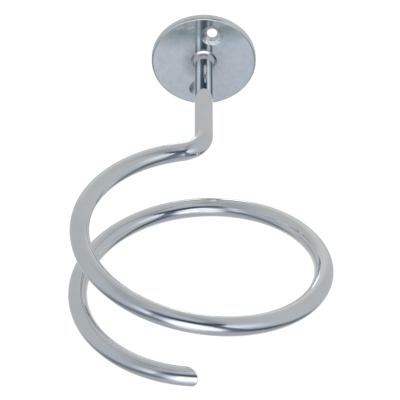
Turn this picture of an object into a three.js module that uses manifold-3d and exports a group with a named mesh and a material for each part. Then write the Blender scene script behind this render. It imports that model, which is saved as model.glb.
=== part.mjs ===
// Hair dryer holder: a round wall plate carries one steel rod, which comes straight
// out from the wall, bends sideways and winds down into an open coil. The dryer's
// barrel drops into the coil from above.
//
// Millimetres. Origin: centre of the wall plate's back face, on the arm's axis.
// +Y goes into the wall, -Y into the room, +Z is up. The plate, its holes, the
// collar and the retaining screw are all turned about Y.

import * as THREE from 'three';
import { mergeVertices } from 'three/addons/utils/BufferGeometryUtils.js';
import ManifoldModule from 'manifold-3d';

const manifold = await ManifoldModule();
manifold.setup();

const { degToRad, lerp } = THREE.MathUtils;

// ---------------------------------------------------------------- dimensions

const ROD_R = 4;                 // 8 mm bright bar
const ROD_SIDES = 24;

const PLATE_R = 23.35;
const PLATE_T = 3;
const PLATE_FRONT = -PLATE_T;    // y of the room-side face
const PLATE_LIP = 0.9;           // radius of the rolled front edge
const PLATE_LIP_ANGLES = [0, 30, 60, 90];
const PLATE_EDGE = 0.35;         // broken back edge
const PLATE_EDGE_BULGE = 0.1;    // how far its middle point lies inside rim and back face
const PLATE_SIDES = 80;

// Two wall screw holes, each in a pressed bowl: radius, depth from the front face
const SCREW_HOLE_R = 2.3;        // for a 4 to 4.5 mm countersunk wood screw
const SCREW_BOWL = [[5, 0], [3.4, 0.92], [SCREW_HOLE_R, 2.35]];
const SCREW_HOLE_LAND = 0.2;     // the straight part of the hole
const SCREW_HOLE_BACK_R = 2.85;  // it opens out again behind the land
const SCREW_HOLES = [[3.7, 13.95], [-1.5, -14.8]]; // x, z: upper, lower
const HOLE_SIDES = 36;

// Cover ring round the foot of the arm: radius, distance from the plate. A shallow
// flange, a short neck, and a nose that tapers towards the rod.
const COLLAR = [[6, 0], [6, 0.12], [4.95, 0.52], [4.95, 2.05], [4.3, 3.5]];
const COLLAR_BORE_R = ROD_R + 0.08;
const COLLAR_SIDES = 48;

// M5 retaining screw, with a 45 degree countersunk head
const BOLT_R = 2.5;
const BOLT_HEAD_R = 4.6;
const BOLT_HEAD_RIM = 0.15;      // straight edge of the head
const BOLT_LENGTH = 14;
const BOLT_TIP = { inset: 0.6, length: 0.8 }; // chamfer on the end
const BOLT_SLOT = { width: 1.2, depth: 1.3, length: 3 * BOLT_HEAD_R };
const BOLT_SIDES = 32;

const BOLT_BORE_R = BOLT_R + 0.15; // clearance hole in the plate, and the rod's tapped hole
const BOLT_SINK_R = 4.8;         // 45 degree countersink in the back of the plate
const TAP_DEPTH = 16;            // blind hole in the rod's wall end
const TAP_POINT = 1.2;           // height of the cone at its bottom
const TAP_CHAMFER = 0.35;        // 45 degree chamfer at its mouth
const TAP_SIDES = 24;

// Cutting tools run past the faces they open through
const OVERCUT = 0.3;
const TAP_OVERCUT = 0.1;

// The coil, seen from above, starts behind its own axis (the wall side) and runs
// to -X first. Its radius and its height are smooth curves through control values
// 45 degrees apart (uniform cubic B-splines; the first value is 45 degrees before
// zero). It leaves the bend level, falls through the front of the first turn,
// clears the arm, and flattens out towards the free end.
const COIL_AXIS = { x: -1.13, y: -120.18 };
const COIL_CONTROL_STEP = 45;
const COIL_RADIUS = [
  53.9, 50.87, 50.04, 49.89, 50.16, 50.56, 50.89, 50.98,
  50.98, 51.23, 51.54, 51.74, 51.75, 51.45, 50.76,
];
const COIL_HEIGHT = [
  0, 0, 0, -0.28, -3.64, -9.19, -17.22, -23.33,
  -27.72, -31.21, -33.73, -35.24, -36.14, -36.78, -37.53,
];
const COIL_START = 9.2;          // degrees, where the bend runs into the coil
const COIL_END = 534.6;          // degrees, where the cut end crosses the rod's axis
const CUT_REACH = 4.4;           // degrees of rod beyond COIL_END before it is sawn off
const CUT_FACE = [1, 0.779, -0.384]; // the free end is sawn on a slant, facing this way
const WASTE_BLOCK = { width: 13, length: 9 }; // covers all the rod beyond the cut
const TANGENT_STEP = 0.05;       // degrees either side, to find the coil's heading

const ARM_STEPS = 2;
const BEND_STEPS = 9;
const COIL_STEPS = 119;
const ROD_STEPS = ARM_STEPS + BEND_STEPS + COIL_STEPS;

// ------------------------------------------------------------------- helpers

// A welded, index-only copy of a geometry, without collapsed triangles.
function weld(geometry) {
  const bare = geometry.clone();
  for (const name of Object.keys(bare.attributes)) {
    if (name !== 'position') bare.deleteAttribute(name);
  }
  const welded = mergeVertices(bare, 1e-4);
  const index = [];
  for (let i = 0; i < welded.index.count; i += 3) {
    const [a, b, c] = [0, 1, 2].map((corner) => welded.index.getX(i + corner));
    if (a !== b && b !== c && c !== a) index.push(a, b, c);
  }
  welded.setIndex(index);
  return welded;
}

function toSolid(geometry) {
  const welded = weld(geometry);
  return new manifold.Manifold(new manifold.Mesh({
    numProp: 3,
    vertProperties: new Float32Array(welded.attributes.position.array),
    triVerts: new Uint32Array(welded.index.array),
  }));
}

function toGeometry(solid) {
  const mesh = solid.getMesh();
  const geometry = new THREE.BufferGeometry();
  const positions = new Float32Array(mesh.vertProperties);
  geometry.setAttribute('position', new THREE.BufferAttribute(positions, 3));
  geometry.setIndex(new THREE.BufferAttribute(new Uint32Array(mesh.triVerts), 1));
  geometry.computeVertexNormals();
  return geometry;
}

// Turned about Y. profile: [radius, y] pairs in rising y on the outside.
function turned(profile, sides) {
  return new THREE.LatheGeometry(profile.map(([r, y]) => new THREE.Vector2(r, y)), sides);
}

// Uniform cubic B-spline through the coil's control values.
function spline(values, degrees) {
  const t = degrees / COIL_CONTROL_STEP;
  const i = Math.min(Math.floor(t), values.length - 4);
  const f = t - i;
  return ((1 - f) ** 3 * values[i]
    + (3 * f ** 3 - 6 * f ** 2 + 4) * values[i + 1]
    + (-3 * f ** 3 + 3 * f ** 2 + 3 * f + 1) * values[i + 2]
    + f ** 3 * values[i + 3]) / 6;
}

function coilPoint(degrees, target = new THREE.Vector3()) {
  const angle = degToRad(degrees);
  const radius = spline(COIL_RADIUS, degrees);
  return target.set(
    COIL_AXIS.x - radius * Math.sin(angle),
    COIL_AXIS.y + radius * Math.cos(angle),
    spline(COIL_HEIGHT, degrees),
  );
}

// ------------------------------------------------------- centreline of the rod

// The bend is a level arc that touches the arm (the line x = 0) and the coil's
// tangent at COIL_START.
const joint = coilPoint(COIL_START);
const heading = coilPoint(COIL_START + TANGENT_STEP)
  .sub(coilPoint(COIL_START - TANGENT_STEP)).setZ(0).normalize();
const cornerReach = joint.x / heading.x;                 // from the corner to either tangent point
const cornerY = joint.y - heading.y * cornerReach;
const bendAngle = Math.acos(-heading.y);                 // turned from -Y to the coil's heading
const bendR = cornerReach / Math.tan(bendAngle / 2);
const bendStartY = cornerY + cornerReach;

class RodPath extends THREE.Curve {
  // t runs evenly over the steps, not the length, so the tight bend gets its own share
  getUtoTmapping(u) { return u; }

  getPoint(t, target = new THREE.Vector3()) {
    let step = t * ROD_STEPS;
    if (step <= ARM_STEPS) {
      return target.set(0, lerp(PLATE_FRONT, bendStartY, step / ARM_STEPS), 0);
    }
    step -= ARM_STEPS;
    if (step <= BEND_STEPS) {
      const angle = bendAngle * step / BEND_STEPS;
      return target.set(
        -bendR + bendR * Math.cos(angle), bendStartY - bendR * Math.sin(angle), 0);
    }
    step -= BEND_STEPS;
    const sweep = COIL_END + CUT_REACH - COIL_START;
    return coilPoint(COIL_START + sweep * step / COIL_STEPS, target);
  }
}

// --------------------------------------------------------------- cutting tools

// Wall screw hole with its bowl on the room side.
function screwHole(x, z) {
  const [mouth, knee, throat] = SCREW_BOWL;
  const slope = (mouth[0] - knee[0]) / (knee[1] - mouth[1]);
  const throatY = PLATE_FRONT + throat[1];
  return toSolid(turned([
    [0, PLATE_FRONT - OVERCUT],
    [mouth[0] + OVERCUT * slope, PLATE_FRONT - OVERCUT],
    [knee[0], PLATE_FRONT + knee[1]],
    [throat[0], throatY],
    [throat[0], throatY + SCREW_HOLE_LAND],
    [SCREW_HOLE_BACK_R, 0],
    [SCREW_HOLE_BACK_R + OVERCUT, OVERCUT],
    [0, OVERCUT],
  ], HOLE_SIDES).translate(x, 0, z));
}

// Centre hole for the retaining screw, countersunk from the wall side.
function boltHole() {
  return toSolid(turned([
    [0, PLATE_FRONT - OVERCUT],
    [BOLT_BORE_R, PLATE_FRONT - OVERCUT],
    [BOLT_BORE_R, BOLT_BORE_R - BOLT_SINK_R],
    [BOLT_SINK_R + OVERCUT, OVERCUT],
    [0, OVERCUT],
  ], HOLE_SIDES));
}

// Blind hole in the rod's wall end.
function tappedHole() {
  return toSolid(turned([
    [0, PLATE_FRONT - TAP_DEPTH - TAP_POINT],
    [BOLT_BORE_R, PLATE_FRONT - TAP_DEPTH],
    [BOLT_BORE_R, PLATE_FRONT - TAP_CHAMFER],
    [BOLT_BORE_R + TAP_CHAMFER + TAP_OVERCUT, PLATE_FRONT + TAP_OVERCUT],
    [0, PLATE_FRONT + TAP_OVERCUT],
  ], TAP_SIDES));
}

// Everything beyond the slanting cut at the free end.
function endWaste() {
  const { width, length } = WASTE_BLOCK;
  const tip = coilPoint(COIL_END);
  const slant = new THREE.Quaternion().setFromUnitVectors(
    new THREE.Vector3(0, 1, 0), new THREE.Vector3(...CUT_FACE).normalize());
  return toSolid(new THREE.BoxGeometry(width, length, width)
    .translate(0, length / 2, 0)
    .applyQuaternion(slant)
    .translate(tip.x, tip.y, tip.z));
}

// -------------------------------------------------------------------- pieces

function wallPlate() {
  const lip = PLATE_LIP_ANGLES.map(degToRad).map((angle) => [
    PLATE_R - PLATE_LIP * (1 - Math.sin(angle)),
    PLATE_FRONT + PLATE_LIP * (1 - Math.cos(angle)),
  ]);
  let plate = toSolid(turned([
    [0, PLATE_FRONT],
    ...lip,
    [PLATE_R, -PLATE_EDGE],
    [PLATE_R - PLATE_EDGE_BULGE, -PLATE_EDGE_BULGE],
    [PLATE_R - PLATE_EDGE, 0],
    [0, 0],
  ], PLATE_SIDES));
  for (const [x, z] of SCREW_HOLES) plate = plate.subtract(screwHole(x, z));
  return toGeometry(plate.subtract(boltHole()));
}

function collar() {
  const outside = COLLAR.map(([r, distance]) => [r, PLATE_FRONT - distance]).reverse();
  const boreFront = [COLLAR_BORE_R, outside[0][1]];
  const boreBack = [COLLAR_BORE_R, PLATE_FRONT];
  return weld(turned([boreFront, ...outside, boreBack, boreFront], COLLAR_SIDES));
}

function coilRod() {
  const section = new THREE.Shape(Array.from({ length: ROD_SIDES }, (_, i) => {
    const angle = i / ROD_SIDES * Math.PI * 2;
    return new THREE.Vector2(ROD_R * Math.cos(angle), ROD_R * Math.sin(angle));
  }));
  section.closePath();
  const bar = toSolid(new THREE.ExtrudeGeometry(section, {
    steps: ROD_STEPS, extrudePath: new RodPath(), curveSegments: 1,
  }));
  return toGeometry(bar.subtract(endWaste()).subtract(tappedHole()));
}

function retainingScrew() {
  const headCone = BOLT_HEAD_R - BOLT_R;
  const blank = toSolid(turned([
    [0, -BOLT_LENGTH],
    [BOLT_R - BOLT_TIP.inset, -BOLT_LENGTH],
    [BOLT_R, -BOLT_LENGTH + BOLT_TIP.length],
    [BOLT_R, -headCone - BOLT_HEAD_RIM],
    [BOLT_HEAD_R, -BOLT_HEAD_RIM],
    [BOLT_HEAD_R, 0],
    [0, 0],
  ], BOLT_SIDES));
  // centred on the head's face, so half of the cutter's height is in the screw
  const { length, depth, width } = BOLT_SLOT;
  return toGeometry(blank.subtract(toSolid(new THREE.BoxGeometry(length, 2 * depth, width))));
}

// ------------------------------------------------------------------ assembly

const FINISHES = {
  satin: { color: 0xaeb4b9, roughness: 0.32, metalness: 1 },
  bright: { color: 0xc9cdd0, roughness: 0.07, metalness: 1 },
  zinc: { color: 0xa7abac, roughness: 0.38, metalness: 1 },
};

const holder = new THREE.Group();
for (const [name, geometry, finish] of [
  ['wall_plate', wallPlate(), FINISHES.satin],
  ['collar', collar(), FINISHES.bright],
  ['coil_rod', coilRod(), FINISHES.bright],
  ['retaining_screw', retainingScrew(), FINISHES.zinc],
]) {
  const piece = new THREE.Mesh(geometry, new THREE.MeshStandardMaterial(finish));
  piece.name = name;
  holder.add(piece);
}

export default holder;
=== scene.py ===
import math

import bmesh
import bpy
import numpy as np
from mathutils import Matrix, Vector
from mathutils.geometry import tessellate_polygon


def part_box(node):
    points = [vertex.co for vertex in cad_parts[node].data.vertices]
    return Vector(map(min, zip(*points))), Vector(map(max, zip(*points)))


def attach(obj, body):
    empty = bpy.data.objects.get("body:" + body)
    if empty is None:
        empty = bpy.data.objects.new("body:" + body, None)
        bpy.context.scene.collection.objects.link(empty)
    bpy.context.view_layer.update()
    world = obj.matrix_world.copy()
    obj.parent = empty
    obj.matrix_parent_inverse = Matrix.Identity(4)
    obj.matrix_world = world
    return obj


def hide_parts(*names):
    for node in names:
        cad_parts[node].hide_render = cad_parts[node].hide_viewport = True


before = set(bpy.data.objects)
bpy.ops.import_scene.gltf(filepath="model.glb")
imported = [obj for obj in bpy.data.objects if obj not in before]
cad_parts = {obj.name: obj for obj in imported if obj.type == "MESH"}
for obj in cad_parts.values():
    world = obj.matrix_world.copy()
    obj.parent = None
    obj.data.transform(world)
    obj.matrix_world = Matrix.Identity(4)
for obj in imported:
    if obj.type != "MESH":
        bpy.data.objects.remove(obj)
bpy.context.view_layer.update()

# Hair dryer holder: a chromed rod leaves a round wall plate, bends and winds down as a
# coil. The wall is the plane y = 0, the room is towards -Y, +X is right and +Z up. The
# rod's straight arm lies on the Y axis and the coil turns about an upright axis. A
# slotted screw comes through the plate from behind into the rod, and a cover ring sits
# on the plate around the rod. Lengths are millimetres until a mesh is made; materials,
# lights and camera are in metres.

scene = bpy.context.scene
MM = 0.001

# ---------------------------------------------------------------------- dimensions

ROD_R = 4.0
ROD_CHAMFER = 0.35
PLATE_R, PLATE_T = 23.35, 3.0
PLATE_FRONT_ROUND, PLATE_BACK_ROUND = 0.9, 0.22
STUB = 1.5                     # flat drawn beyond an outline's end to give its direction

# screw holes in the plate: (x, z) of each
HOLES = [(3.7, 13.95), (-1.5, -14.8)]
HOLE_LAND, HOLE_BACK_R = 0.2, 2.85
# countersink: radius, depth below the front face, rounding
SINK = [(2.3, 2.35, 0.1), (3.4, 0.92, 1.6), (5.0, 0, 0.35)]
HOLE_R, SINK_R = SINK[0][0], SINK[-1][0]

# cover ring: radius, distance in front of the plate, rounding
COLLAR = [(4.3, 3.5, 0.08), (4.95, 2.05, 0.3), (4.95, 0.52, 0.15), (6.0, 0.12, 0.05),
          (6.0, 0, 0.04)]
COLLAR_BORE_R, COLLAR_BORE_ROUND = 4.08, 0.04

THREAD_PITCH = 0.8
BORE_R, TAP_DEPTH = 2.65, 16.0
DRILL_TIP = 1.2                # height of the cone at the end of the tapped hole
BORE_MOUTH = 0.42              # chamfer of the tapped hole
BORE_PLAIN = 2.0               # unthreaded length at the end of the hole
BOLT_R, BOLT_HEAD_R, BOLT_LENGTH, BOLT_SINK_R = 2.5, 4.6, 14.0, 4.8
BOLT_EDGE = 0.15               # straight rim of the head
BOLT_TIP_R, BOLT_ROOT_R = 1.62, 2.08
SLOT_WIDTH, SLOT_DEPTH, SLOT_ROUND = 1.2, 1.3, 0.12

# Coil: radius and height are B-splines with a control value every COIL_STEP degrees.
# Angles run from the wall side of the axis towards -X.
COIL_AXIS = (-1.13, -120.18)   # x, y
COIL_STEP = 45
COIL_RADIUS = [53.9, 50.87, 50.04, 49.89, 50.16, 50.56, 50.89, 50.98, 50.98, 51.23,
               51.54, 51.74, 51.75, 51.45, 50.76]
COIL_HEIGHT = [0, 0, 0, -0.28, -3.64, -9.19, -17.22, -23.33, -27.72, -31.21, -33.73,
               -35.24, -36.14, -36.78, -37.53]
COIL_START, COIL_END = 9.2, 534.6
ARM_STEPS, BEND_STEPS, COIL_STEPS = 44, 120, 1000

# the slanting cut at the free end of the coil
CUT_FACE = np.array([1, 0.779, -0.384]) / math.sqrt(1 + 0.779 ** 2 + 0.384 ** 2)
CUT_ROUND = 0.3
TAIL = 5.0                     # the last square ring is at least this far from the end
TAIL_LEAN = 4.9                # where the rings start to lean towards the cut


# ------------------------------------------------------------------------ mesh code

def circle(sides):
    """Angles, and unit spokes in the XZ plane."""
    angles = np.arange(sides) * 2 * math.pi / sides
    return angles, [np.array([math.cos(a), 0.0, math.sin(a)]) for a in angles]


def facing(spokes, outward, along):
    """Normals leaning out along the spokes and along +Y."""
    return [outward * spoke + np.array([0, along, 0]) for spoke in spokes]


class Shell:
    """One closed skin. Every corner of every face carries its own exact normal."""

    def __init__(self):
        self.points, self.flow, self.faces, self.normals = [], [], [], []

    def ring(self, points, flow=None):
        first = len(self.points)
        self.points.extend(np.asarray(p, float) for p in points)
        self.flow.extend(flow if flow is not None else [(0.0, 0.0, 0.0)] * len(points))
        return list(range(first, first + len(points)))

    def round(self, spokes, y, radii, x=0.0, z=0.0, flow=None):
        """A ring about the line through (x, z) along Y."""
        centre = np.array([x, y, z])
        radii = np.broadcast_to(radii, len(spokes))
        return self.ring([centre + r * spoke for r, spoke in zip(radii, spokes)], flow)

    def turned(self, ids, normals):
        """True if a face in this order would point against its normals."""
        p = [self.points[i] for i in ids]
        across = np.cross(p[2] - p[0], p[-1] - p[1] if len(p) > 3 else p[2] - p[1])
        return np.dot(across, sum(normals)) < 0

    def face(self, ids, normals, turn=None):
        if self.turned(ids, normals) if turn is None else turn:
            ids, normals = ids[::-1], normals[::-1]
        self.faces.append(tuple(ids))
        self.normals.extend(normals)

    def strip(self, a, b, a_normals, b_normals):
        """Joins two rings; either may be a single point."""
        turn = None
        sides = max(len(a), len(b))
        for i in range(sides):
            j = (i + 1) % sides
            if len(a) == 1:
                corner = [a[0], b[j], b[i]], [a_normals[0], b_normals[j], b_normals[i]]
            elif len(b) == 1:
                corner = [a[i], a[j], b[0]], [a_normals[i], a_normals[j], b_normals[0]]
            else:
                corner = ([a[i], a[j], b[j], b[i]],
                          [a_normals[i], a_normals[j], b_normals[j], b_normals[i]])
            if turn is None:
                turn = bool(self.turned(*corner))
            self.face(*corner, turn)

    def tube(self, points, normals, flow):
        """Many rings of one size, joined in order: arrays (rings, sides, 3). Returns
        the first and the last ring."""
        rings, sides = points.shape[:2]
        first = len(self.points)
        self.points.extend(points.reshape(-1, 3))
        self.flow.extend(flow.reshape(-1, 3))
        i, j = np.meshgrid(np.arange(rings - 1), np.arange(sides), indexing="ij")
        a, b = i * sides + j, i * sides + (j + 1) % sides
        quads = np.stack([a, b, b + sides, a + sides], -1).reshape(-1, 4)
        flat = normals.reshape(-1, 3)
        if self.turned(list(quads[0] + first), list(flat[quads[0]])):
            quads = quads[:, ::-1]
        self.faces.extend(map(tuple, (quads + first).tolist()))
        self.normals.extend(flat[quads.reshape(-1)])
        end = first + rings * sides
        return list(range(first, first + sides)), list(range(end - sides, end))

    def flat(self, loops, normal):
        """A plane face: the first loop is its outline, the others its holes."""
        ids = [i for loop in loops for i in loop]
        outlines = [[Vector(self.points[i]) for i in loop] for loop in loops]
        for triangle in tessellate_polygon(outlines):
            self.face([ids[k] for k in triangle], [np.array(normal, float)] * 3)

    def mesh(self, name):
        mesh = bpy.data.meshes.new(name)
        mesh.from_pydata([tuple(p * MM) for p in self.points], [], self.faces)
        mesh.polygons.foreach_set("use_smooth", [True] * len(mesh.polygons))
        normals = np.array(self.normals)
        normals /= np.linalg.norm(normals, axis=1)[:, None]
        mesh.normals_split_custom_set(normals.tolist())
        flow = mesh.attributes.new("flow", "FLOAT_VECTOR", "POINT")
        flow.data.foreach_set("vector", np.asarray(self.flow, np.float32).ravel() * MM)
        mesh.validate(clean_customdata=False)
        mesh.update()
        return mesh


def corners(table, steps):
    """An outline through (radius, y, rounding), with its corners rounded, as a list of
    (radius, y, normal radius, normal y). The outside is on the right of the direction
    of travel. The roundings of the two ends are not used."""
    p = [np.array(row[:2], float) for row in table]
    way = [(b - a) / np.linalg.norm(b - a) for a, b in zip(p, p[1:])]
    out = [np.array([d[1], -d[0]]) for d in way]
    outline = [(*p[0], *out[0])]
    for i in range(1, len(p) - 1):
        before, after, side, radius = way[i - 1], way[i], out[i - 1], table[i][2]
        turn = math.atan2(before[0] * after[1] - before[1] * after[0],
                          float(np.dot(before, after)))
        sign = 1 if turn > 0 else -1
        start = p[i] - before * radius * math.tan(abs(turn) / 2)
        centre = start - sign * radius * side
        for k in range(steps + 1):
            a = turn * k / steps
            normal = np.array([side[0] * math.cos(a) - side[1] * math.sin(a),
                               side[0] * math.sin(a) + side[1] * math.cos(a)])
            outline.append((*(centre + sign * radius * normal), *normal))
    outline.append((*p[-1], *out[-1]))
    return outline


def revolve(shell, outline, sides, x=0.0, z=0.0, close=False):
    """Turns an outline about the line through (x, z) along Y. Returns its first and
    last ring, which are one and the same if it is closed."""
    spokes = circle(sides)[1]
    first = last = before = None
    for i, (radius, y, outward, along) in enumerate(outline):
        closing = close and i == len(outline) - 1
        ring = first if closing else shell.round(spokes, y, radius, x, z)
        normals = facing(spokes, outward, along)
        if i:
            shell.strip(last, ring, before, normals)
        else:
            first = ring
        last, before = ring, normals
    return first, last


def add_object(name, data):
    added = bpy.data.objects.new(name, data)
    scene.collection.objects.link(added)
    return added


def piece(name, mesh, node, material):
    """Puts a mesh in the place of a CAD node, whose box it must fill."""
    added = add_object(name, mesh)
    mesh.materials.clear()
    mesh.materials.append(material)
    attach(added, "root")
    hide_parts(node)
    points = np.array([v.co for v in mesh.vertices])
    gaps = np.array([points.min(0), points.max(0)]) - np.array([list(c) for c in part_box(node)])
    if np.abs(gaps).max() > 0.4 * MM:
        raise RuntimeError(f"{name} doesn't fill the box of its CAD node {node}")


# ------------------------------------------------------------------ path of the rod

def spline(values, degrees):
    """Uniform cubic B-spline."""
    t = degrees / COIL_STEP
    i = min(int(math.floor(t)), len(values) - 4)
    f = t - i
    return ((1 - f) ** 3 * values[i] + (3 * f ** 3 - 6 * f ** 2 + 4) * values[i + 1]
            + (-3 * f ** 3 + 3 * f ** 2 + 3 * f + 1) * values[i + 2] + f ** 3 * values[i + 3]) / 6


def coil_point(degrees):
    angle, radius = math.radians(degrees), spline(COIL_RADIUS, degrees)
    return np.array([COIL_AXIS[0] - radius * math.sin(angle),
                     COIL_AXIS[1] + radius * math.cos(angle), spline(COIL_HEIGHT, degrees)])


def coil_step(degrees):
    return coil_point(degrees + 0.05) - coil_point(degrees - 0.05)


# the bend is a level arc that touches the Y axis and the start of the coil
joint = coil_point(COIL_START)
heading = coil_step(COIL_START)
heading[2] = 0
heading /= np.linalg.norm(heading)
reach = joint[0] / heading[0]
bend_angle = math.acos(-heading[1])
bend_r = reach / math.tan(bend_angle / 2)
bend_start = joint[1] - heading[1] * reach + reach


def rod_path():
    """Points on the rod's axis and the directions there."""
    arm = bend_start + PLATE_T
    path = [np.array([0.0, -PLATE_T + arm * i / ARM_STEPS, 0.0]) for i in range(ARM_STEPS + 1)]
    headings = [np.array([0.0, -1.0, 0.0])] * (ARM_STEPS + 1)
    for i in range(1, BEND_STEPS + 1):
        a = bend_angle * i / BEND_STEPS
        path.append(np.array([-bend_r + bend_r * math.cos(a),
                              bend_start - bend_r * math.sin(a), 0.0]))
        headings.append(np.array([-math.sin(a), -math.cos(a), 0.0]))
    for i in range(1, COIL_STEPS + 1):
        degrees = COIL_START + (COIL_END - COIL_START) * i / COIL_STEPS
        path.append(coil_point(degrees))
        step = coil_step(degrees)
        headings.append(step / np.linalg.norm(step))
    return path, headings


# ------------------------------------------------------------------------------ rod

def bar_flow(distance, radius, angles):
    """The rod's texture space: distance along the bar, and place in its section."""
    return np.column_stack([np.broadcast_to(distance, len(angles)),
                            radius * np.cos(angles), radius * np.sin(angles)])


def rod_bore(shell, angles, spokes):
    """The tapped hole in the plate end of the rod, its mouth, the end face and the
    chamfer. Returns the outer ring of the chamfer."""
    def ring(radius, depth):
        return shell.round(spokes, -PLATE_T - depth, radius,
                           flow=bar_flow(depth, radius, angles))

    apex = shell.ring([(0, -PLATE_T - TAP_DEPTH - DRILL_TIP, 0)])
    last = ring(BORE_R, TAP_DEPTH)
    slope = math.atan2(DRILL_TIP, BORE_R)
    shell.strip(apex, last, [np.array([0, 1.0, 0])],
                facing(spokes, -math.sin(slope), math.cos(slope)))
    # thread: shallow rounded grooves winding up the hole, fading at both ends
    inward = facing(spokes, -1, 0)
    thread_end = TAP_DEPTH - BORE_PLAIN
    rows = []
    for depth in np.arange(thread_end, 0.7, -0.1):
        fade = min(1.0, thread_end - depth, max(0.0, (depth - 0.75) / 0.8))
        radii = [BORE_R - 0.03 + 0.26 * fade * max(0.0, math.sin(
            2 * math.pi * (depth / THREAD_PITCH - a / (2 * math.pi)))) ** 2 for a in angles]
        rows.append((np.array(radii), depth, inward))
    rows += [(BORE_R, BORE_MOUTH, inward),
             (BORE_R + BORE_MOUTH, 0.0, facing(spokes, -0.7071, 0.7071)),
             (ROD_R - ROD_CHAMFER, 0.0, facing(spokes, 0, 1.0)),
             (ROD_R, ROD_CHAMFER, facing(spokes, 0.7071, 0.7071))]
    for radius, depth, normals in rows:
        now = ring(radius, depth)
        shell.strip(last, now, normals, normals)
        last = now
    return last


def rotated(arrow, axis, angle):
    return (arrow * math.cos(angle) + np.cross(axis, arrow) * math.sin(angle)
            + axis * np.dot(axis, arrow) * (1 - math.cos(angle)))


def rod_cut(shell, rings, angles, frame, path, headings, distances):
    """The slanting cut: each line along the bar runs on, following its curve, to the cut
    face, and turns into it through a small rounding. rings holds the last square ring
    and its normals."""
    across, upright = frame
    tip, along, length = path[-1], headings[-1], distances[-1]
    across = across - np.dot(across, along) * along
    across /= np.linalg.norm(across)
    square = np.cross(along, across)
    upright = square * (1 if np.dot(square, upright) > 0 else -1)
    inner = along - headings[-12]
    inner -= np.dot(inner, along) * along
    curve = np.linalg.norm(inner) / (length - distances[-12])     # 1 / radius of the coil
    inner /= np.linalg.norm(inner)
    spokes = [math.cos(a) * across + math.sin(a) * upright for a in angles]

    def on_line(spoke, t):
        return (tip + along * t + inner * (0.5 * curve * t * t)
                + ROD_R * (spoke - along * float(np.dot(spoke, inner)) * curve * t))

    cuts = []                                  # where each line meets the cut face
    for spoke in spokes:
        near, far = -6.0, 6.0
        for _ in range(50):
            middle = (near + far) / 2
            if np.dot(on_line(spoke, middle) - tip, CUT_FACE) < 0:
                near = middle
            else:
                far = middle
        cuts.append(near)
    cuts = np.array(cuts)
    edge = [on_line(spoke, t) for spoke, t in zip(spokes, cuts)]
    into = [CUT_FACE * float(np.dot(spoke, CUT_FACE)) - spoke for spoke in spokes]
    into = [arrow / np.linalg.norm(arrow) for arrow in into]      # towards the middle

    def add(rows, normals, distance, radius=ROD_R):
        rings.append((shell.ring(rows, bar_flow(distance, radius, angles)), normals))

    for w in (0.25, 0.5, 0.75):                # from the last square ring to the rounding
        add([on_line(spoke, -TAIL_LEAN + (t - CUT_ROUND + TAIL_LEAN) * w)
             for spoke, t in zip(spokes, cuts)], spokes,
            length + (cuts - CUT_ROUND) * w - TAIL * (1 - w))
    for w in range(7):                         # the rounding
        a = math.pi / 2 * w / 6
        rows = [c + (on_line(spoke, t - CUT_ROUND) - c) * (1 - math.sin(a))
                + (c + m * CUT_ROUND - c) * (1 - math.cos(a))
                for spoke, t, c, m in zip(spokes, cuts, edge, into)]
        add(rows, [spoke * math.cos(a) + CUT_FACE * math.sin(a) for spoke in spokes],
            length + cuts + w * 0.05)
    flat = [CUT_FACE] * len(angles)
    for w in (0.7, 0.4, 0.15):                 # the cut face
        add([tip + (c + m * CUT_ROUND - tip) * w for c, m in zip(edge, into)], flat,
            length + 0.4 + ROD_R * (1 - w), ROD_R * w)
    for (a, a_normals), (b, b_normals) in zip(rings, rings[1:]):
        shell.strip(a, b, a_normals, b_normals)
    middle = shell.ring([tip], [(length + 0.4 + ROD_R, 0.0, 0.0)])
    shell.strip(rings[-1][0], middle, flat, [CUT_FACE])


def make_rod(sides=144):
    shell = Shell()
    path, headings = rod_path()
    steps = [np.linalg.norm(b - a) for a, b in zip(path, path[1:])]
    distances = np.concatenate([[0], np.cumsum(steps)])
    angles, spokes = circle(sides)
    bore_end = rod_bore(shell, angles, spokes)

    # the long outside, with the frame carried along without twist
    frame = np.array([1.0, 0.0, 0.0]), np.array([0.0, 0.0, 1.0])
    points, normals, flow = [], [], []
    for i in range(1, len(path)):
        before, along = headings[i - 1], headings[i]
        axis = np.cross(before, along)
        swing = np.linalg.norm(axis)
        if swing > 1e-12:
            angle = math.atan2(swing, float(np.dot(before, along)))
            frame = [rotated(arrow, axis / swing, angle) for arrow in frame]
        if distances[i] < distances[-1] - TAIL:
            out = np.cos(angles)[:, None] * frame[0] + np.sin(angles)[:, None] * frame[1]
            points.append(path[i] + ROD_R * out)
            normals.append(out)
            flow.append(bar_flow(distances[i], ROD_R, angles))
    near_end, far_end = shell.tube(np.array(points), np.array(normals), np.array(flow))
    shell.strip(bore_end, near_end, spokes, list(normals[0]))
    rod_cut(shell, [(far_end, list(normals[-1]))], angles, frame, path, headings, distances)
    return shell.mesh("bent_rod")


# ----------------------------------------------------------- plate, cover ring, screw

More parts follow.
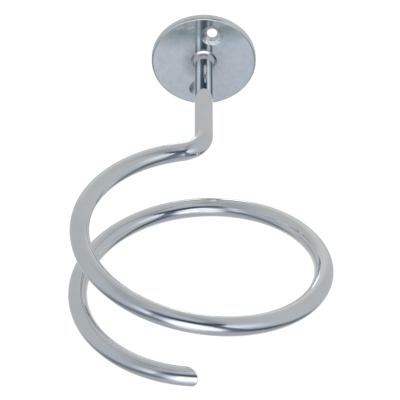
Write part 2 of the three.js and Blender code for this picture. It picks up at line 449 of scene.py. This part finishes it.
def make_plate(sides=256):
    shell = Shell()
    edge = corners([(PLATE_R - 2, -PLATE_T, 0), (PLATE_R, -PLATE_T, PLATE_FRONT_ROUND),
                    (PLATE_R, 0, PLATE_BACK_ROUND), (PLATE_R - 2, 0, 0)], 9)
    front, back = revolve(shell, edge[1:-1], sides)
    fronts, backs = [front], [back]

    land = -PLATE_T + SINK[0][1]
    screw_hole = corners([
        (HOLE_BACK_R + STUB, 0, 0), (HOLE_BACK_R, 0, 0.08), (HOLE_R, land + HOLE_LAND, 0.08),
        *[(radius, -PLATE_T + depth, rounding) for radius, depth, rounding in SINK],
        (SINK_R + STUB, -PLATE_T, 0)], 6)
    bolt_hole = corners([
        (BOLT_SINK_R + STUB, 0, 0), (BOLT_SINK_R, 0, 0.15),
        (BORE_R, BORE_R - BOLT_SINK_R, 0.1), (BORE_R, -PLATE_T, 0.1),
        (BORE_R + STUB, -PLATE_T, 0)], 4)
    for outline, x, z in [*[(screw_hole, *place) for place in HOLES], (bolt_hole, 0.0, 0.0)]:
        back, front = revolve(shell, outline[1:-1], 96, x, z)
        backs.append(back)
        fronts.append(front)
    shell.flat(fronts, (0, -1, 0))
    shell.flat(backs, (0, 1, 0))
    return shell.mesh("wall_disc")


def make_collar(sides=160):
    shell = Shell()
    front = -PLATE_T - COLLAR[0][1]
    seam = (COLLAR_BORE_R, front + 1, 0)       # the outline starts and ends in the bore
    outline = corners([
        seam, (COLLAR_BORE_R, front, COLLAR_BORE_ROUND),
        *[(radius, -PLATE_T - ahead, rounding) for radius, ahead, rounding in COLLAR],
        (COLLAR_BORE_R, -PLATE_T, COLLAR_BORE_ROUND), seam], 8)
    revolve(shell, outline, sides, close=True)
    return shell.mesh("cover_ring")


def screw_radius(y, angle, top):
    """Radius of the threaded shank, which fades to plain towards top."""
    past_tip = y + BOLT_LENGTH
    fade = min(1.0, past_tip / 1.6, max(0.0, (top - y) / 0.8))
    phase = (y / THREAD_PITCH - angle / (2 * math.pi)) % 1.0
    crest = min(1.0, 2.3 * (1 - abs(2 * phase - 1)))   # narrow flat crest, narrow root
    plain = 1 if y > -8 else 0
    return min(BOLT_R, BOLT_TIP_R + past_tip * 1.1,
               BOLT_ROOT_R + (BOLT_R - 0.02 - BOLT_ROOT_R) * (crest * fade + (1 - fade) * plain))


def make_screw(sides=64):
    """The screw points to -Y, with the top of its head at y = 0."""
    shell = Shell()
    angles, spokes = circle(sides)
    neck = BOLT_R - BOLT_HEAD_R - BOLT_EDGE    # y where the head's cone meets the shank
    head = corners([(BOLT_R, neck - 0.45, 0), (BOLT_R, neck, 0.1),
                    (BOLT_HEAD_R, -BOLT_EDGE, 0.05), (BOLT_HEAD_R, 0, 0.06), (0, 0, 0)], 4)
    tip = shell.ring([(0, -BOLT_LENGTH, 0)])
    last = shell.round(spokes, -BOLT_LENGTH, BOLT_TIP_R)
    down = [np.array([0, -1.0, 0])] * sides
    shell.strip(tip, last, down[:1], down)

    top = BOLT_R - BOLT_HEAD_R - 0.9
    heights = np.arange(-BOLT_LENGTH + 0.45, top, 0.08)
    rows = np.array([[screw_radius(y, a, top) for a in angles] for y in heights])
    rises = np.gradient(rows, heights, axis=0)
    for y, radii, rise in zip(heights, rows, rises):
        swell = (np.roll(radii, -1) - np.roll(radii, 1)) / (4 * math.pi / sides) / radii
        normals = [spokes[j] - np.array([0, rise[j], 0])
                   - np.array([-math.sin(a), 0, math.cos(a)]) * swell[j]
                   for j, a in enumerate(angles)]
        ring = shell.round(spokes, y, radii)
        shell.strip(last, ring, normals, normals)
        last = ring

    ring = shell.round(spokes, head[0][1], BOLT_R)
    shell.strip(last, ring, normals, spokes)
    last, before = ring, spokes
    for radius, y, outward, along in head[1:-1]:
        ring = shell.round(spokes, y, radius)
        normals = facing(spokes, outward, along)
        shell.strip(last, ring, before, normals)
        last, before = ring, normals
    centre = shell.ring([(0, 0, 0)])
    shell.strip(last, centre, before, [np.array([0, 1.0, 0])])
    return cut_slot(shell.mesh("screw_blank"))


def cut_slot(blank_mesh):
    """Cuts the slot with a bar along X that has a rounded floor."""
    blank = add_object("screw_blank", blank_mesh)
    half, depth, rounding = SLOT_WIDTH * MM / 2, SLOT_DEPTH * MM, SLOT_ROUND * MM
    outline = [(-half, 0.002), (-half, -depth + rounding)]          # z, y
    outline += [(-half + rounding * (1 - math.cos(a)), -depth + rounding * (1 - math.sin(a)))
                for a in (0.5, 1.05)]
    outline += [(-z, y) for z, y in outline[::-1]]
    n = len(outline)
    faces = [tuple(range(n))[::-1], tuple(range(n, 2 * n))]
    faces += [(i, (i + 1) % n, n + (i + 1) % n, n + i) for i in range(n)]
    bar = bpy.data.meshes.new("slot_bar")
    bar.from_pydata([(x, y, z) for x in (-0.009, 0.009) for z, y in outline], [], faces)
    bm = bmesh.new()
    bm.from_mesh(bar)
    bmesh.ops.recalc_face_normals(bm, faces=bm.faces)
    bm.to_mesh(bar)
    bm.free()
    cutter = add_object("slot_bar", bar)
    cut = blank.modifiers.new("slot", "BOOLEAN")
    cut.operation, cut.solver, cut.object = "DIFFERENCE", "EXACT", cutter
    evaluated = blank.evaluated_get(bpy.context.evaluated_depsgraph_get())
    mesh = bpy.data.meshes.new_from_object(evaluated)
    mesh.name = "slotted_screw"
    for temporary in (blank, cutter):
        bpy.data.objects.remove(temporary)
    mesh.polygons.foreach_set("use_smooth", [True] * len(mesh.polygons))
    mesh.set_sharp_from_angle(angle=math.radians(32))
    return mesh


# ------------------------------------------------------------- arithmetic in nodes

DEGREES, RADIANS = 180 / math.pi, math.pi / 180     # to degrees, to radians


class Value:
    """A value in a node tree, so that shading can be written as plain arithmetic."""

    def __init__(self, tree, socket):
        self.tree, self.socket = tree, socket

    def op(self, kind, *others):
        node = self.tree.nodes.new("ShaderNodeMath")
        node.operation = kind
        for slot, value in zip(node.inputs, (self,) + others):
            plug(value, slot)
        return Value(self.tree, node.outputs[0])

    def __add__(self, b): return self.op("ADD", b)
    def __radd__(self, b): return self.op("ADD", b)
    def __sub__(self, b): return self.op("SUBTRACT", b)
    def __rsub__(self, b): return (self * -1) + b
    def __mul__(self, b): return self.op("MULTIPLY", b)
    def __rmul__(self, b): return self.op("MULTIPLY", b)
    def __truediv__(self, b): return self.op("DIVIDE", b)
    def __neg__(self): return self * -1


def plug(value, slot):
    if isinstance(value, Value):
        value.tree.links.new(value.socket, slot)
    else:
        slot.default_value = value


def source(tree, kind, output):
    """One output of a new node."""
    return Value(tree, tree.nodes.new(kind).outputs[output])


def exp(x): return x.op("EXPONENT")
def root(x): return x.op("SQRT")
def size(x): return x.op("ABSOLUTE")
def low(a, b): return a.op("MINIMUM", b)
def high(a, b): return a.op("MAXIMUM", b)
def power(a, b): return a.op("POWER", b)
def sine(x): return x.op("SINE")
def arcsine(x): return x.op("ARCSINE") * DEGREES
def bearing(a, b): return a.op("ARCTAN2", b) * DEGREES
def lerp(a, b, t): return (b - a) * t + a
def bell(x): return exp(-(x * x))
def bell2(x, y): return exp(-(x * x) - y * y)


def clamp(x):
    node = x.tree.nodes.new("ShaderNodeClamp")
    plug(x, node.inputs[0])
    return Value(x.tree, node.outputs[0])


def ease(x, a, b):
    """0 below a, 1 above b, smooth between."""
    node = x.tree.nodes.new("ShaderNodeMapRange")
    node.interpolation_type = "SMOOTHSTEP"
    plug(x, node.inputs["Value"])
    node.inputs["From Min"].default_value = a
    node.inputs["From Max"].default_value = b
    return Value(x.tree, node.outputs["Result"])


def fall(x, a, b):
    """1 below a, 0 above b, smooth between."""
    return 1 - ease(x, a, b)


def split(at):
    node = at.tree.nodes.new("ShaderNodeSeparateXYZ")
    plug(at, node.inputs[0])
    return [Value(at.tree, node.outputs[i]) for i in range(3)]


def vector(x, y, z):
    node = x.tree.nodes.new("ShaderNodeCombineXYZ")
    for slot, value in zip(node.inputs, (x, y, z)):
        plug(value, slot)
    return Value(x.tree, node.outputs[0])


def noise(at, scale, detail, rough=0.5, warp=0.0, seed=None):
    node = at.tree.nodes.new("ShaderNodeTexNoise")
    if seed is not None:
        node.noise_dimensions = "4D"
        node.inputs["W"].default_value = seed
    plug(at, node.inputs["Vector"])
    node.inputs["Scale"].default_value = scale
    node.inputs["Detail"].default_value = detail
    node.inputs["Roughness"].default_value = rough
    node.inputs["Distortion"].default_value = warp
    return Value(at.tree, node.outputs["Fac"])


def cells(at, scale):
    """Distance to the nearest scattered point, and a random number of that point."""
    node = at.tree.nodes.new("ShaderNodeTexVoronoi")
    plug(at, node.inputs["Vector"])
    node.inputs["Scale"].default_value = scale
    pick = at.tree.nodes.new("ShaderNodeSeparateColor")
    at.tree.links.new(node.outputs["Color"], pick.inputs[0])
    return Value(at.tree, node.outputs["Distance"]), Value(at.tree, pick.outputs[0])


def relief(*layers):
    """Bumps laid over one another: (height 0..1, metres that a height of 1 stands)."""
    normal = None
    for height, depth in layers:
        node = height.tree.nodes.new("ShaderNodeBump")
        node.inputs["Strength"].default_value = 1.0
        node.inputs["Distance"].default_value = depth
        plug(height, node.inputs["Height"])
        if normal is not None:
            plug(normal, node.inputs["Normal"])
        normal = Value(height.tree, node.outputs["Normal"])
    return normal


def new_material(name, metallic=1.0):
    material = bpy.data.materials.new(name)
    material.use_nodes = True
    tree = material.node_tree
    shader = next(n for n in tree.nodes if n.type == "BSDF_PRINCIPLED")
    shader.inputs["Metallic"].default_value = metallic
    return material, tree, shader


def dress(shader, colour, rough, normal):
    plug(colour, shader.inputs["Base Color"])
    plug(rough, shader.inputs["Roughness"])
    plug(normal, shader.inputs["Normal"])


def tint(level, colour):
    return vector(*[level * channel for channel in colour])


# ------------------------------------------------------------------------ materials
# In each, level is the brightness left after every mark has taken its share.

def rod_chrome():
    """Bright chrome on drawn bar: draw lines, polishing haze, hairline scratches,
    small nicks and pits, and rubbed bands at both ends of the bend."""
    material, tree, shader = new_material("chrome_rod")
    attribute = tree.nodes.new("ShaderNodeAttribute")
    attribute.attribute_name = "flow"
    here = Value(tree, attribute.outputs["Vector"])
    along, a, b = split(here)
    haze = noise(here, scale=55, detail=4, rough=0.6, warp=0.6)
    cloud = noise(here, scale=16, detail=2, warp=0.3, seed=3.0)
    lines = noise(vector(along * 0.035, a, b), scale=1700, detail=2, rough=0.6)
    hair = noise(vector(along * 0.05 + a * 0.2, a, b), scale=900, detail=1, seed=7.0)
    hairline = ease(hair, 0.70, 0.76)
    peel = noise(here, scale=420, detail=1, rough=0.4, seed=1.0)
    wave = noise(here, scale=70, detail=1, rough=0.4, seed=5.0)
    distance, pick = cells(here, scale=105)
    nick = fall(distance, 0.02, 0.05) * ease(pick, 0.86, 0.87)
    distance, pick = cells(here, scale=420)
    pit = fall(distance, 0.05, 0.11) * ease(pick, 0.90, 0.91)
    start = -bend_start - PLATE_T
    stop = start + bend_r * bend_angle
    band_width = 0.0016
    bands = along * 0
    for place in (start, stop):
        off = (along - place * MM) / band_width
        bands = bands + exp(0 - off * off)
    streaks = noise(vector(along * 0.4, a, b), scale=1300, detail=2, rough=0.6, seed=9.0)
    scuff = clamp(bands * ease(streaks, 0.52, 0.66))
    blotch = noise(here, scale=95, detail=3, rough=0.55, warp=0.5, seed=11.0)
    warm = (noise(here, scale=60, detail=2, warp=0.3, seed=12.0) - 0.5) * 0.05
    level = (1.0 - ease(haze, 0.3, 0.75) * 0.03 - ease(blotch, 0.42, 0.68) * 0.03
             - pit * 0.35 - nick * 0.1 - hairline * 0.03)
    dress(shader,
          colour=vector(level * (warm + 0.868), level * 0.876, level * (0.880 - warm)),
          rough=clamp(ease(haze, 0.35, 0.8) * 0.025 + ease(cloud, 0.4, 0.75) * 0.015 + 0.012
                      + hairline * 0.10 + scuff * 0.14 + nick * 0.2 + pit * 0.3),
          normal=relief((wave, 2.5e-6), (peel, 0.35e-6), (lines, 0.12e-6),
                        (1 - nick - pit * 0.6 - hairline * 0.02 - scuff * 0.01, 2.2e-5)))
    return material


def turned_chrome():
    """Bright chrome on the turned cover ring: fine rings from the lathe, worn rims."""
    material, tree, shader = new_material("chrome_ring")
    at = source(tree, "ShaderNodeTexCoord", "Object")
    x, y, z = split(at)
    r = root(x * x + z * z)
    haze = noise(at, scale=260, detail=3, rough=0.6)
    rings = sine((y + r) * (2 * math.pi / 0.00022))
    grain = noise(vector(r, y, r * 0), scale=9000, detail=1)
    rim = ease(r, 0.0047, 0.0049) * fall(y, -0.0052, -0.0050)
    worn = rim * ease(noise(at, scale=1400, detail=2, rough=0.6, seed=2.0), 0.5, 0.65)
    dress(shader,
          colour=tint(0.99 - haze * 0.05 - worn * 0.06, (0.865, 0.875, 0.88)),
          rough=haze * 0.05 + 0.06 + worn * 0.12,
          normal=relief((rings, 0.12e-6), (grain, 0.25e-6), (1 - worn, 0.6e-6)))
    return material


def plate_chrome():
    """Duller chrome on the plate: a cloudy, slightly pebbled skin that shows mirror
    images a little blurred; cutter marks in the countersinks; a rubbed rim."""
    material, tree, shader = new_material("chrome_plate")
    at = source(tree, "ShaderNodeTexCoord", "Object")
    x, y, z = split(at)
    r = root(x * x + z * z)
    cloud = noise(at, scale=130, detail=3, rough=0.55, warp=0.4)
    mottle = noise(at, scale=420, detail=3, rough=0.6, warp=0.2, seed=4.0)
    grain = noise(at, scale=2600, detail=2, rough=0.6, seed=8.0)
    swirl = noise(vector(x * 0.12 + z * 0.05, y, z), scale=1500, detail=1, seed=6.0)
    # countersinks: ripples by distance from, and bearing about, each hole. The bowls are painted
    # lighter as a painted highlight, and their upper part is painted darker as painted shade
    sink = chatter = painted_bowl_shade = x * 0
    for hole_x, hole_z in HOLES:
        dx, dz = x - hole_x * MM, z - hole_z * MM
        d = root(dx * dx + dz * dz)
        inside = fall(d, SINK_R * MM, (SINK_R + 0.05) * MM) * fall(y, -0.0006, -0.0003)
        turn = bearing(dx, dz)
        wobble = (sine(turn * RADIANS * 13 + d * 2600) * 0.5
                  + sine(turn * RADIANS * 5 + 1.3) * 0.5)
        grooves = sine(d * (2 * math.pi / 0.0004) + turn * RADIANS) * 0.4
        sink = sink + inside
        painted_bowl_shade = painted_bowl_shade + inside * ease(dz - dx * 0.4, -0.0022, 0.0012)
        chatter = chatter + inside * (wobble + grooves)
    rim = ease(r, (PLATE_R - 0.55) * MM, (PLATE_R - 0.15) * MM)
    rub = rim * ease(noise(at, scale=900, detail=3, rough=0.7, seed=2.0), 0.45, 0.62)
    # painted shade round the cover ring, patchy, more on the left
    patchy = noise(at, scale=700, detail=2, rough=0.6, seed=5.0)
    painted_collar_shade = (fall(r, 0.0060, 0.0115) * (ease(patchy, 0.3, 0.7) * 0.4 + 0.8)
            * (1 - ease(x, -0.003, 0.004) * 0.6))
    # a painted dark reflection of the coil, and a blue tint just below it, on both sides of the
    # upper half
    aside = (size(x) - 0.0085) / 0.0090
    reflection_z, blue_z = (z - 0.0190) / 0.0064, (z - 0.0140) / 0.0040
    flat = 1 - clamp(sink)
    inner = flat * fall(r, (PLATE_R - 1.0) * MM, (PLATE_R - 0.6) * MM)
    painted_coil_reflection = bell2(aside, reflection_z) * inner
    blue = bell2(aside, blue_z) * inner
    # the plate is painted lighter towards the right: painted light
    level = (1.0 - cloud * 0.06 - ease(mottle, 0.35, 0.75) * 0.09 + rub * 0.03 - painted_collar_shade * 0.27
             - painted_coil_reflection * 0.36 + ease(x, 0.006, 0.018) * 0.10 + sink * 0.18 - painted_bowl_shade * 0.58)
    dress(shader,
          colour=vector(level * (0.829 - blue * 0.085 + sink * 0.04), level * 0.877,
                        level * (0.858 + blue * 0.095 + sink * 0.015)),
          rough=clamp(0.065 + ease(cloud, 0.3, 0.75) * 0.05 + ease(mottle, 0.4, 0.8) * 0.04
                      + rub * 0.08 - sink * 0.03 + rim * ease(size(x), 0.010, 0.019) * 0.28),
          normal=relief((cloud * flat, 7.0e-6), (mottle * flat, 3.4e-6), (grain, 0.35e-6),
                        (swirl * flat, 0.3e-6), (chatter, 4.5e-5)))
    return material


def zinc():
    """Zinc plated screw: crystalline, faintly yellow, rubbed along the slot."""
    material, tree, shader = new_material("zinc_screw")
    at = source(tree, "ShaderNodeTexCoord", "Object")
    x, y, z = split(at)
    cloud = noise(at, scale=600, detail=3, rough=0.6, warp=0.5)
    grain = noise(at, scale=5000, detail=2, rough=0.6, seed=3.0)
    crystal = cells(at, scale=1500)[1]
    edge = fall(size(z), 0.0006, 0.0011) * ease(y, -0.0004, -0.0001)
    turning = sine(root(x * x + z * z) * (2 * math.pi / 0.00025))
    dress(shader,
          colour=vector(0.60 + cloud * 0.05 + edge * 0.08 + crystal * 0.03,
                        0.60 + cloud * 0.03 + edge * 0.09 + crystal * 0.03,
                        0.60 - cloud * 0.04 + edge * 0.10 + crystal * 0.03),
          rough=clamp(0.34 + cloud * 0.12 - edge * 0.12),
          normal=relief((grain, 1.2e-6), (turning, 0.8e-6), (crystal, 0.8e-6)))
    return material


piece("bent_rod", make_rod(), "coil_rod", rod_chrome())
piece("wall_disc", make_plate(), "wall_plate", plate_chrome())
piece("cover_ring", make_collar(), "collar", turned_chrome())
piece("slotted_screw", make_screw(), "retaining_screw", zinc())

# -------------------------------------------------------------------------- studio

# What chrome looks like is what it reflects, so the studio is a round tent of soft
# greys with a large white window in front, the dark gap round the camera above it,
# two bright side screens, and a table with two shadow seams running back from it.
# Azimuths are degrees from the camera's side of the object, + to the right;
# elevations are degrees. Tones are display brightness, 0 to 255.

TENT_R = 0.85
TENT_CENTRE = (0.0, -0.12, -0.02)
REFLECTANCE = 0.86

WALL, WALL_RIGHT, WALL_BEHIND = 176.03, 2.27, 20.5     # plain, added right, added behind
TABLE, OVERHEAD = 165.34, 175.17
# dark folds in the side walls: side, tilt and azimuth of the plane's normal, width, depth
FOLDS = [(1, 16.3, -74.54, 6.36, 25.3), (-1, 15.83, 56.62, 12.76, 17.99)]
# behind and below: tone, then the azimuths and elevations it fades between
REAR, REAR_AZIM, REAR_ELEV = 177.39, (122.92, 145.77), (-18.17, -3.71)
# soft light on the table: azimuth, elevation, width, height, gain
POOLS = [
    (-9.59, -25.84, 14.72, 18.34, 50.07), (141.01, -68.86, 16.53, 11.71, 59.4),
    (165.72, -36.6, 13.53, 20.18, 48.88), (-128.54, -53.23, 9.79, 5.04, 46.27),
    (-161.79, -43.34, 13.91, 21.17, 30.62), (176.69, -14.25, 3.25, 11.23, 58.91),
]
# side screens: left, right, bottom and top edge, each as a from-to pair; tone
SCREENS = [
    (27.68, 33.21, 41.8, 74.51, -2.49, 19.67, 32.11, 54.88, 220.45),
    (-58.24, -32.84, -31.73, -28.35, -10.9, 7.43, 22.43, 42.12, 224.18),
]
# soft dark lines: azimuth and elevation of both ends, width, tone
SEAMS = [
    (21.12, -14.3, 39.84, -18.44, 3.58, 73.43), (41.25, -18.95, 57.1, -28.25, 10.66, 79.07),
    (65.54, -34.73, 92.68, -44.46, 8.92, 99.69), (89.84, -44.73, 119.21, -49.64, 6.35, 116.06),
    (26.5, -25.82, 77.62, -46.43, 8.16, 131.05), (31.32, 3.44, 34.47, -8.52, 5.14, 100.25),
    (-30.75, -14.46, -43.44, -16.93, 6.65, 120.82),
    (-39.14, -19.27, -66.07, -32.08, 13.7, 115.73),
    (-76.61, -38.51, -95.72, -43.61, 9.1, 110.48),
    (-105.02, -40.9, -115.39, -46.68, 6.74, 138.43),
]
# dark bars: azimuth and elevation of both ends, half width, softness, tone
BARS = [
    (30.72, -5.17, 26.05, 17.19, 6.99, 3.25, 113.89),
    (23.35, 19.57, 25.48, 33.38, 5.16, 2.1, 108.83),
    (-33.79, -5.96, -27.22, 33.79, 2.58, 2.54, 161.89),
    (23.81, 48.02, 42.9, 51.42, 3.33, 0.58, 57.95),
    (20.41, 39.09, 34.98, 42.13, 3.51, 0.13, 61.3),
    (16.93, 38.82, 27.9, 24.54, 1.94, 2.09, 77.22),
    (19.9, 53.34, 47.6, 59.45, 4.14, 3.75, 124.22),
]
# gap round the camera: edges as for the screens; lens: azimuth, elevation, width, height
GAP_EDGES = (-43.99, -23.58, 20.69, 28.04, 17.36, 38.67, 44.39, 67.12)
GAP_TONE, LENS_TONE = 95.73, 46.49
LENS = (4.48, 48.1, 14.99, 9.07)
# arched window: middle, half width, lean; where the arch springs, its height, softness
WINDOW_AZIM, WINDOW_HALF, WINDOW_LEAN = -1.21, 21.81, -0.02
SPRING, ARCH_RISE, ARCH_BLUR = -2.86, 32.49, 0.36
SILL, SILL_BLUR = -19.63, 13.07
WINDOW_TONE = 262


def away(azim, elev, azim0, elev0, azim1, elev1):
    """Degrees from the line between two directions."""
    run, rise = azim1 - azim0, elev1 - elev0
    t = clamp(((azim - azim0) * run + (elev - elev0) * rise) / (run * run + rise * rise))
    u = azim - azim0 - t * run
    v = elev - elev0 - t * rise
    return root(u * u + v * v)


def spot(azim, elev, azim0, elev0, width, height):
    return bell2((azim - azim0) / width, (elev - elev0) / height)


def cover(azim, elev, edges, within=None):
    """1 inside four soft edges: left, right, bottom, top."""
    part = ease(azim, *edges[0:2])
    if within is not None:
        part = within * part
    return part * fall(azim, *edges[2:4]) * ease(elev, *edges[4:6]) * fall(elev, *edges[6:8])


def backdrop(x, y, z, azim, elev):
    """Walls, folds and table. The products with 0 carry constants into low and high."""
    side = size(azim)
    tone = x * WALL_RIGHT + WALL
    tone = lerp(tone, OVERHEAD, ease(elev, 40, 75))
    tone = tone + ease(y, 0.75, 0.98) * ease(elev, -10, 10) * fall(elev, 52, 74) * WALL_BEHIND
    for sign, tilt, turn, width, depth in FOLDS:
        e, a = math.radians(tilt), math.radians(turn)
        d = arcsine(x * (math.cos(e) * math.sin(a)) + y * (-math.cos(e) * math.cos(a))
                    + z * math.sin(e)) / width
        tone = tone - bell(d) * ease(azim * sign, 25, 45) * fall(azim * sign, 145, 170) * depth
    # the table's edge, lower towards the back
    line = low(-8 - (side - 25) * 0.62, side * 0 - 10)
    line = high(line, side * 0 - 46)
    tone = lerp(tone, TABLE, fall(elev - line, -7, 7))
    return lerp(tone, REAR, ease(side, *REAR_AZIM) * fall(elev, *REAR_ELEV))


def studio(x, y, z):
    """Tone of the tent in a direction, and how much of it is window."""
    azim, elev = bearing(x, -y), arcsine(z)
    tone = backdrop(x, y, z, azim, elev)
    for *place, gain in POOLS:
        tone = tone + spot(azim, elev, *place) * gain
    for *edges, shade in SCREENS:
        tone = lerp(tone, shade, cover(azim, elev, edges))
    across = (azim - WINDOW_AZIM - WINDOW_LEAN * elev) / WINDOW_HALF
    above = high(elev - SPRING, elev * 0) / ARCH_RISE
    arch = root(across * across + above * above)
    gap = cover(azim, elev, GAP_EDGES, within=ease(arch, 1.0, 1.16))
    dark = spot(azim, elev, *LENS) * (LENS_TONE - GAP_TONE) + GAP_TONE
    tone = low(tone, lerp(tone, dark, gap))
    for *line, width, shade in SEAMS:
        tone = low(tone, lerp(tone, shade, bell(away(azim, elev, *line) / width)))
    for *line, half, soft, shade in BARS:
        mask = fall(away(azim, elev, *line), half - soft, half + soft)
        tone = low(tone, lerp(tone, shade, mask))
    window = fall(arch, 1 - ARCH_BLUR, 1 + ARCH_BLUR)
    window = window * ease(elev, SILL - SILL_BLUR, SILL + SILL_BLUR)
    return lerp(tone, WINDOW_TONE, window), window


def tent_light():
    material = bpy.data.materials.new("tent_light")
    material.use_nodes = True
    tree = material.node_tree
    tree.nodes.clear()
    shift = tree.nodes.new("ShaderNodeVectorMath")
    shift.operation = "SUBTRACT"
    plug(source(tree, "ShaderNodeNewGeometry", "Position"), shift.inputs[0])
    shift.inputs[1].default_value = TENT_CENTRE
    unit = tree.nodes.new("ShaderNodeVectorMath")
    unit.operation = "NORMALIZE"
    tree.links.new(shift.outputs[0], unit.inputs[0])
    direction = Value(tree, unit.outputs[0])
    tone, window = studio(*split(direction))
    # light that has met two mirrors has lost some: the window makes up for it. After
    # three it is only a glint trapped between neighbouring curves.
    bounces = source(tree, "ShaderNodeLightPath", "Glossy Depth")
    many = ease(bounces, 2.4, 2.6)
    tone = tone + ease(window, 0.8, 1.0) * ease(bounces, 1.4, 1.6) * (1 - many) * 70
    tone = lerp(tone, low(tone, tone * 0 + 185), many)
    # colour: neutral from behind, cooler towards the front, a little lilac low on the left
    x, y, z = split(direction)
    lilac = bell2((bearing(x, -y) + 15) / 22, (arcsine(z) + 45) / 25)
    red = y * y * 1.6 + y * 3.0 - 5.1 + lilac * 3.5
    blue = 4.4 - y * 4.8 + ease(-y, 0.5, 0.9) * 3.5 + lilac * 1.0
    cool = fall(tone, 225, 255) * (1 + clamp((170 - tone) / 100) * 0.45)
    green = (red + blue) / -3
    channels = []
    for offset in (green + red, green, green + blue):
        shown = high(tone + cool * offset, tone * 0 + 12)
        channels.append(power((shown / 255 + 0.055) / 1.055, 2.4))   # display to linear
    glow = tree.nodes.new("ShaderNodeEmission")
    glow.inputs["Strength"].default_value = 1 / REFLECTANCE
    plug(vector(*channels), glow.inputs["Color"])
    out = tree.nodes.new("ShaderNodeOutputMaterial")
    tree.links.new(glow.outputs[0], out.inputs["Surface"])
    material.cycles.emission_sampling = "NONE"
    return material


def make_tent():
    mesh = bpy.data.meshes.new("studio_tent")
    bm = bmesh.new()
    bmesh.ops.create_icosphere(bm, subdivisions=5, radius=TENT_R)
    for vertex in bm.verts:
        vertex.co += Vector(TENT_CENTRE)
    bm.to_mesh(mesh)
    bm.free()
    tent = add_object("studio_tent", mesh)
    mesh.materials.append(tent_light())
    # only mirror reflections see the tent: the picture's ground stays plain
    for ray in ("camera", "diffuse", "shadow", "transmission", "volume_scatter"):
        setattr(tent, "visible_" + ray, False)


def make_floor(half=12.0, n=24, level=-0.40):
    mesh = bpy.data.meshes.new("floor")
    marks = [-half + 2 * half * i / n for i in range(n + 1)]
    row = n + 1
    faces = [(k, k + 1, k + row + 1, k + row)
             for j in range(n) for k in range(j * row, j * row + n)]
    mesh.from_pydata([(x, y, level) for y in marks for x in marks], [], faces)
    floor = add_object("floor", mesh)
    material, tree, shader = new_material("pale_floor", metallic=0.0)
    shader.inputs["Roughness"].default_value = 1.0
    shader.inputs["Specular IOR Level"].default_value = 0.0
    at = source(tree, "ShaderNodeTexCoord", "Object")
    grey = 0.90 + noise(at, scale=3, detail=2) * 0.01
    plug(tint(grey, (1.0, 1.0, 1.0)), shader.inputs["Base Color"])
    mesh.materials.append(material)
    floor.visible_glossy = False


def make_world():
    """An even light that the camera sees as nearly white."""
    world = bpy.data.worlds.new("plain_room")
    scene.world = world
    world.use_nodes = True
    tree = world.node_tree
    tree.nodes.clear()
    mix = tree.nodes.new("ShaderNodeMixShader")
    plug(source(tree, "ShaderNodeLightPath", "Is Camera Ray"), mix.inputs[0])
    for slot, grey, strength in ((1, 1, 1.08), (2, 0.992, 1.0)):
        light = tree.nodes.new("ShaderNodeBackground")
        light.inputs["Color"].default_value = (grey, grey, grey, 1)
        light.inputs["Strength"].default_value = strength
        tree.links.new(light.outputs[0], mix.inputs[slot])
    out = tree.nodes.new("ShaderNodeOutputWorld")
    tree.links.new(mix.outputs[0], out.inputs["Surface"])


make_tent()
make_floor()
scene.view_settings.view_transform = "Standard"
scene.view_settings.look = "None"
make_world()

lamp = bpy.data.lights.new("soft_overhead", "AREA")
lamp.shape, lamp.size, lamp.size_y, lamp.energy = "RECTANGLE", 1.6, 1.6, 3.0
key = add_object("soft_overhead", lamp)
key.location = (0.3, -0.5, 1.5)
aim = Vector((0, -0.12, 0)) - Vector(key.location)
key.rotation_euler = aim.to_track_quat("-Z", "Y").to_euler()
key.visible_glossy = key.visible_camera = False

# -------------------------------------------------------------------------- camera

CAMERA_HEIGHT = 0.6660571      # radians above the horizon
CAMERA_DISTANCE = 0.974856
CAMERA_TARGET = Vector((-0.0014613, -0.120180, 0.013042))

camera = add_object("camera", bpy.data.cameras.new("camera"))
back = Vector((0, -math.cos(CAMERA_HEIGHT), math.sin(CAMERA_HEIGHT)))
camera.location = CAMERA_TARGET + back * CAMERA_DISTANCE
camera.rotation_mode = "QUATERNION"
camera.rotation_quaternion = (-back).to_track_quat("-Z", "Y")
camera.data.sensor_width = 36
camera.data.lens = 215.926
camera.data.shift_x, camera.data.shift_y = -0.00125, 0.00125
camera.data.clip_start, camera.data.clip_end = 0.01, 100
scene.camera = camera
